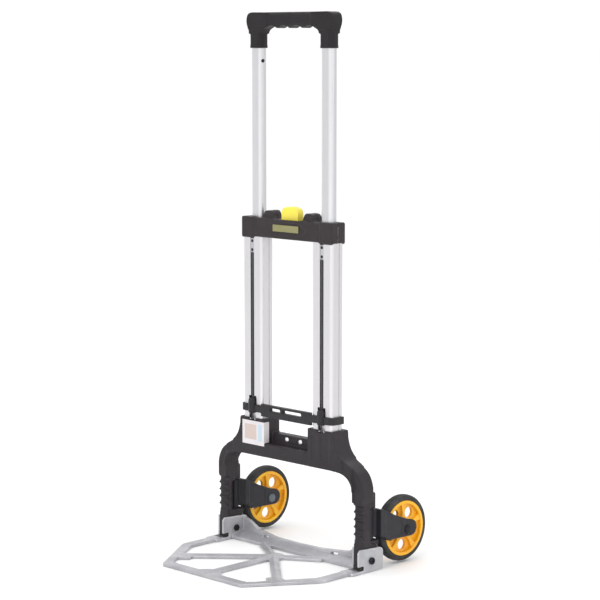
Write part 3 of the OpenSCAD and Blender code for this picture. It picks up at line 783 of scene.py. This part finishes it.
insert_bm, insert_cut = bmesh.new(), bmesh.new()
block(insert_bm, (-65.8, inner_y - 10, 991.2), (65.8, inner_y + 10, 1003.5), 1.5)
scallops(insert_cut)
groove_pitch = 2.1
for k in range(-31, 32):
    x = k * groove_pitch
    groove_top = 991.9 + 4.4 * abs(math.cos(math.pi * k * groove_pitch / pitch)) ** 0.6
    block(insert_cut, (x - 0.45, inner_y - 8.4, 980), (x + 0.45, inner_y + 8.4, groove_top), 0)
put(melt("grip_pad", insert_bm, GRIP, insert_cut, 0.7, 2, 0.5), "handle", ["grip_insert"])

# ---------------------------------------------------------------- hook bar and its bosses
hz0, hz1 = hook_lo.z, hook_hi.z
rail_lo, rail_hi = hz1 - 17.3, hz1 - 3.2


def hook_half(bm):
    """One side of the hook bar: rail, arm, middle slab and thumb ribs."""
    # rail with rounded corners and arms that end in a bead
    prism(bm, [(-8, -20), (111, -20), (115.5, -19.2), (119.2, -16.8), (121.8, -13), (122.9, -8), (122.9, 12),
               (120.6, 14.2), (118.5, 12), (118.5, -9.5), (116.8, -13.6), (113, -16.4), (-8, -16.5)], 2,
          rail_lo, rail_hi)
    prism(bm, [(-8, -19.8), (62, -19.8), (68, -18), (68, -16), (63, -11.6), (-8, -11.1)], 2, hz0, hz1)
    # thumb ribs
    for x in (48, 52.5, 57):
        block(bm, (x - 1, -20, hz0 + 0.4), (x + 1, -18, hz1 - 0.4), 0.6)


def hook_cuts(bm):
    """Room for a boss, and the hollow behind the rail."""
    rod(bm, 2, (tube_x, tube_lo.y), 8.3, hz0 - 3, hz1 + 3, 48)
    block(bm, (69, -15.6, hz0 - 3), (118.2, 0, hz1 + 3), 0)


hook_bm, hook_cut = bmesh.new(), bmesh.new()
both_sides(hook_bm, hook_half)
both_sides(hook_cut, hook_cuts)
for a, b in ((-42, -14), (-8, 42)):
    block(hook_cut, (a, -30, hz1 - 11), (b, 0, hz1 - 4.5), 2.5)
put(melt("hook_rail", hook_bm, HOOK, hook_cut, 0.7, 4, 0.35), "hook_bar", ["hook_bar"])

boss_lo, boss_hi = box_mm("hook_bosses")
crown = [(0.05, boss_lo.z), (7.0, boss_lo.z), (8.4, boss_lo.z + 1.6), (8.4, boss_hi.z - 5),
         (7.2, boss_hi.z - 1.4), (5.6, boss_hi.z), (0.05, boss_hi.z)]


def boss_cuts(bm):
    """The boss is cut open behind, for the tube and the cord."""
    block(bm, (tube_x - 12, -8.8, 250), (tube_x + 12, 6, 300), 0)
    rod(bm, 2, (tube_x, -12.2), 4.1, boss_lo.z + 3, 300, 32)
    block(bm, (tube_x - 4.1, -12.2, boss_lo.z + 3), (tube_x + 4.1, 2, 300), 0)


boss_bm, boss_cut = bmesh.new(), bmesh.new()
both_sides(boss_bm, lambda b: turned(b, crown, "Z", (tube_x, tube_lo.y, 0), 48))
both_sides(boss_cut, boss_cuts)
put(carve("cord_boss_pair", boss_bm, HOOK, boss_cut, 0.5), "hook_bar", ["hook_bosses"])

# ---------------------------------------------------------------- toe plate
front, rim_x, rim_w = toe_front, 190, 21
hub = (0, -50)
base, rib_top, rib_step, rib_spine = 0.1, 5.2, 6.9, 8.2
outer = smooth_line([(rim_x, -26), (rim_x, -100), (rim_x - 2, -112), (rim_x - 8, -123)], 4) \
    + smooth_line([(114, front + 13), (109, front + 5), (104, front + 1), (96, front + 0.4),
                   (0, front + 0.4)], 4)
inner_line = smooth_line([(rim_x - rim_w, -26), (rim_x - rim_w, -98), (rim_x - rim_w - 4, -112)], 4) \
    + smooth_line([(108, front + 32), (101, front + 25), (92, front + rim_w), (0, front + rim_w)], 4)


def strip(a, b, w0, w1):
    """Outline of a tapering bar between two points."""
    a, b = Vector(a), Vector(b)
    side = (b - a).normalized().orthogonal()
    corners = (a + side * w0 / 2, b + side * w1 / 2, b - side * w1 / 2, a - side * w0 / 2)
    return [tuple(p) for p in corners]


def plate_half(bm):
    """One side of the toe plate: rim, ribs, gusset, foot of the ears and apron."""
    prism(bm, outer + [(-2, front + 0.4), (-2, front + rim_w)] + inner_line[::-1], 2, base, 6)
    # ribs, roof-shaped: a wide foot and a narrower spine
    for end, foot in (((134, -172), 19), ((80, 0), 17)):
        prism(bm, strip(hub, end, foot, foot), 2, base, rib_top)
        prism(bm, strip(hub, end, foot * 0.62, foot * 0.55), 2, 3, rib_step)
        prism(bm, strip(hub, end, foot * 0.25, foot * 0.2), 2, 3, rib_spine)
    # gusset in the front corner
    prism(bm, [(114, -148), (152, -158), (134, -194), (102, -170)], 2, base, 5.8)
    block(bm, (165, -44, base), (197.4, -22.8, 6), 2)
    # apron that slopes up to the bowed back wall
    wall_front = [(-2, 12), (60, 13), (100, 22), (121, 24.2), (129, 25.1), (148, 26.9), (167, 28)]
    wall_back = [(-2, 20), (60, 21), (100, 30), (121, 31.9), (129, 32.7), (148, 34.4), (167, 36)]
    wall_top = [18.4, 19.2, 21.0, 22.4, 27.2, 35.8, 40.0]
    sections = []
    for (x, yf), (_, yb), top in zip(wall_front, wall_back, wall_top):
        crease = (x, yf - 0.5, min(top, 16) - 1.5)
        sections.append([(x, -2, base), (x, -2, 6.8), crease, (x, yf + 1, top), (x, yb, top), (x, yb, base)])
    loft(bm, sections)


def plate_cuts(bm):
    """Bolt holes, grooves and hollows of one side of the toe plate."""
    rod(bm, 0, bolt_yz, 5.2, 150, 210, 32)
    # shallow channel along the rim
    groove_out = [(183.5, -36), (183.5, -110)]
    groove_in = [(175.5, -36), (175.5, -106)]
    prism(bm, groove_out + groove_in[::-1], 2, 5.0, 9)
    # hollow underside of the apron, and room for the bolt head
    prism(bm, [(6, -4), (13, 7.5), (24, 7.5), (24, -4)], 0, 4, 158)
    rod(bm, 0, bolt_yz, 7.6, 158, 165, 40)
    # slot through the back wall
    prism(bm, rounded(16, 5, 2.4, (92, 13)), 1, 16, 40)


def ear(bm, x0, x1, nose):
    """Side plate around a leg; the nose reaches forward above the foot."""
    corner = [(31 + 9 * math.cos(t), 34 + 9 * math.sin(t)) for t in (0.4, 0.8, 1.2)]
    back = [(40, base), (40, 34)] + corner + [(31, 43.2)]
    face = [(-10.2, 6), (-24, 6), (-24, base)]
    if nose:
        face = [(-22, 45.8), (-26.8, 40), (-26.8, 14.2), (-10.2, 14.2)] + face
    else:
        face = [(-10.2, 45.8)] + face
    prism(bm, back + face, 0, x0, x1, 0.6, 2)


ear_inner, ear_outer = (165, 169), (193.6, 197.4)
plate_bm, plate_cut = bmesh.new(), bmesh.new()
# only the ears to the right of each leg have a nose
ear(plate_bm, -ear_outer[1], -ear_outer[0], False)
ear(plate_bm, -ear_inner[1], -ear_inner[0], True)
ear(plate_bm, *ear_inner, False)
ear(plate_bm, *ear_outer, True)
both_sides(plate_bm, plate_half)
rod(plate_bm, 2, hub, 21, base, 6.2, 48)
for width, top in ((19, rib_top), (12, rib_step), (5, rib_spine)):
    prism(plate_bm, strip(hub, (0, front + 12), width, width), 2, base, top)
prism(plate_bm, [(-32, front + 19), (32, front + 19), (10, front + 42), (-10, front + 42)], 2, base, 5.8)
both_sides(plate_cut, plate_cuts)
put(melt("toe_plate_casting", plate_bm, CAST, plate_cut, 1.0, 4, 0.4), "toe", ["toe_plate"])

# ---------------------------------------------------------------- forks, axles and wheels
tip, arm_root = (112, 67), 63


def make_fork(name, sign):
    """Fork of one wheel: knuckle round the hinge pin, root plate and two arms."""
    bm, cut = bmesh.new(), bmesh.new()
    rod(bm, 2, (pin_x, pin_y), 7, fork_root, fork_top, 48, 1)
    prism(bm, [(163, 32.5), (pin_x - 7, pin_y + 6), (pin_x - 5, pin_y), (pin_x + 5, pin_y), (pin_x + 9, 28.5),
               (202, 28.5), (202, 35.5), (163, 35.5)], 2, arm_root, fork_top)
    tip_arc = [(tip[0] + 15.4 * math.cos(t), tip[1] + 15.4 * math.sin(t)) for t in
               [math.radians(a) for a in range(-90, 91, 12)]]
    arm = [(29, arm_root), (36, arm_root), (48, 53)] + tip_arc + [(104, 84), (70, 97), (40, 112)]
    arm += [(36, fork_top - 0.2), (29, fork_top - 0.2)]
    for x0, x1, y_front in ((163.1, 169.9, 31.5), (195.1, 201.9, 28.6)):
        prism(bm, [(max(p[0], y_front), p[1]) for p in arm], 0, x0, x1)
    rod(cut, 2, (pin_x, pin_y), 3.1, 40, 140, 32)
    rod(cut, 0, (axle.y, axle.z), 5.1, 150, 210, 32)
    # sunk panels on the outer and inner faces
    panel = [(42, 66), (56, 58.5), (86, 57.5), (86, 86), (68, 93), (42, 106)]
    prism(cut, panel, 0, 200.9, 210, 0)
    prism(cut, panel, 0, 150, 164.2, 0)
    for a, b in ((68, 74), (84, 90), (100, 106)):
        block(cut, (172, 34.5, a), (194, 40, b), 1)
    if sign < 0:
        flip_x(bm)
        flip_x(cut)
    return melt(name, bm, FORK, cut, 0.9, 5, 0.35)


pair(make_fork, "fork_arm", "fork", ["fork"])


def make_axle(name, sign):
    """Axle pin with a zinc-plated flanged head inside and a black cap outside."""
    bm, cap_x = bmesh.new(), 202.0
    shaft = [(0.05, 160.2), (6.0, 160.2), (8.2, 161.1), (9.0, 162.6), (9.0, 163.0), (5.0, 163.0),
             (5.0, cap_x), (9.0, cap_x), (9.0, 202.8), (8.0, 204.2), (5.4, 204.9), (0.05, 205)]
    lathe(bm, shaft, (0, axle.y, axle.z), 48)
    if sign < 0:
        flip_x(bm)
    obj = mesh_object(name, bm, AXLE_STEEL)
    obj.data.materials.append(BLACK_STEEL)
    for poly in obj.data.polygons:
        if abs(poly.center.x) > (cap_x - 0.5) * MM:
            poly.material_index = 1
    return obj


pair(make_axle, "wheel_axle", "fork", ["axle"])


def make_tyre(name, sign):
    """Rounded solid tyre with two grooves and a shoulder line."""
    bm = bmesh.new()
    half = [(52.1, 9.2), (54.0, 9.9), (57.5, 9.9), (58.2, 9.3), (58.8, 9.7), (60.2, 8.6), (61.4, 7.0),
            (62.0, 5.2), (62.2, 4.3), (61.4, 3.9), (61.4, 3.1), (62.35, 2.7), (62.5, 1.0)]
    ring = [(52.1, -9.2)] + [(r, -x) for r, x in half[1:]] + [(r, x) for r, x in half[::-1]]
    ring += [(52.1, 4.1), (54.1, 4.0), (54.1, -4.0), (52.1, -4.1)]
    lathe(bm, ring, (sign * axle.x, axle.y, axle.z), 160)
    return mesh_object(name, bm, TYRE, 42)


pair(make_tyre, "tyre_tread", "wheel", ["tyre"])


def make_rim(name, sign):
    """Five-spoke moulded rim with round windows."""
    bm, cut = bmesh.new(), bmesh.new()
    c = (axle.x, axle.y, axle.z)
    lathe(bm, [(45.8, -10.3), (51.9, -10.3), (51.9, 10.3), (45.8, 10.3)], c, 128)
    lathe(bm, [(51, -3.8), (53.9, -3.8), (53.9, 3.8), (51, 3.8)], c, 128)
    lathe(bm, [(14, -4.5), (22, -3.4), (47, -3.0), (47, 3.0), (22, 3.4), (14, 4.5)], c, 96)
    lathe(bm, [(9.4, -10.3), (16.5, -10.3), (18, -4), (18, 4), (16.5, 10.3), (9.4, 10.3)], c, 96)
    for k in range(5):
        spoke = bmesh.new()
        # spoke blades on both faces, waisted in the middle
        for x0, x1 in ((-8.4, -1), (1, 8.4)):
            prism(spoke, [(-5.5, 12), (5.5, 12), (3.2, 30), (6.5, 48), (-6.5, 48), (-3.2, 30)], 0, x0, x1)
        turn(spoke, 72 * k, "X")
        bmesh.ops.translate(spoke, vec=c, verts=spoke.verts)
        add_part(bm, spoke)
        hole = bmesh.new()
        rod(hole, 0, (0, 32), 10, -20, 20, 40)
        turn(hole, 72 * k + 36, "X")
        bmesh.ops.translate(hole, vec=c, verts=hole.verts)
        add_part(cut, hole)
    if sign < 0:
        flip_x(bm)
        flip_x(cut)
    return melt(name, bm, RIM, cut, 0.75, 4, 0.35)


pair(make_rim, "wheel_rim", "wheel", ["rim"])

# ---------------------------------------------------------------- CAD nodes that keep their shape
KEPT = {"badge_plate": BADGE, "rating_label": LABEL, "hinge_pins": STEEL, "guide_bushes": BUSH}
for node, mat in (("outer_tube", ALU), ("inner_tube", ALU_IN), ("cord", CORD), ("latch_pin", STEEL),
                  ("hub_bush", STEEL)):
    KEPT[node + "_left"] = KEPT[node + "_right"] = mat
for node, mat in KEPT.items():
    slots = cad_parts[node].material_slots
    if not slots:
        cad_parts[node].data.materials.append(mat)
    for entry in slots:
        entry.material = mat

# ---------------------------------------------------------------- stage, lights and camera, in metres
floor_mesh = bpy.data.meshes.new("floor")
sweep_y, sweep_r = 5.5, 2.5
bend = [math.radians(a) for a in range(10, 91, 10)]
sweep = [(-14.0, 0.0), (sweep_y, 0.0)]
sweep += [(sweep_y + sweep_r * math.sin(t), sweep_r - sweep_r * math.cos(t)) for t in bend] + [(8.0, 12.0)]
verts = [(x, y, z) for x in (-14.0, 14.0) for y, z in sweep]
n = len(sweep)
faces = [(i, i + 1, n + i + 1, n + i) for i in range(n - 1)]
floor_mesh.from_pydata(verts, [], faces)
floor_mesh.polygons.foreach_set("use_smooth", [True] * len(floor_mesh.polygons))
floor = bpy.data.objects.new("floor", floor_mesh)
floor.rotation_euler = (0, 0, math.radians(45))
floor.location = (0, 0, -0.0002)
bpy.context.scene.collection.objects.link(floor)
floor_mat, _, floor_bsdf = new_material("floor_paper")
floor_bsdf.inputs["Base Color"].default_value = (0.98, 0.98, 0.98, 1)
floor_bsdf.inputs["Roughness"].default_value = 0.9
floor_bsdf.inputs["Specular IOR Level"].default_value = 0.1
floor.data.materials.append(floor_mat)

world = bpy.data.worlds.new("studio")
world.use_nodes = True
world.node_tree.nodes["Background"].inputs["Color"].default_value = (1.0, 1.0, 1.0, 1)
world.node_tree.nodes["Background"].inputs["Strength"].default_value = 1.02
bpy.context.scene.world = world
bpy.context.scene.view_settings.view_transform = "Standard"


def area_light(name, place, aim, size, watts):
    """A square soft light at a place, turned to its aim."""
    lamp = bpy.data.lights.new(name, "AREA")
    lamp.shape, lamp.size, lamp.energy = "SQUARE", size, watts
    obj = bpy.data.objects.new(name, lamp)
    obj.location = place
    obj.rotation_euler = (Vector(aim) - Vector(place)).to_track_quat("-Z", "Y").to_euler()
    bpy.context.scene.collection.objects.link(obj)


area_light("key", (0.6, -3.2, 3.4), (0, 0, 0.4), 2.2, 42)
area_light("fill", (3.6, 0.6, 1.8), (0, 0, 0.5), 2.4, 14)
area_light("back", (-1.8, 2.6, 2.8), (0, 0, 0.6), 2.0, 18)

camera_data = bpy.data.cameras.new("camera")
camera_data.lens, camera_data.sensor_width = 120.425, 36
camera_data.clip_end = 100
camera = bpy.data.objects.new("camera", camera_data)
azimuth, pitch, reach = math.radians(45), math.radians(7.3), 3.74313
aim = Vector((0.019863, 0, 0.488575))
level = math.cos(pitch)
view = Vector((math.sin(azimuth) * level, -math.cos(azimuth) * level, math.sin(pitch)))
camera.location = aim + reach * view
camera.rotation_euler = (math.radians(90) - pitch, 0, azimuth)
bpy.context.scene.collection.objects.link(camera)
bpy.context.scene.camera = camera
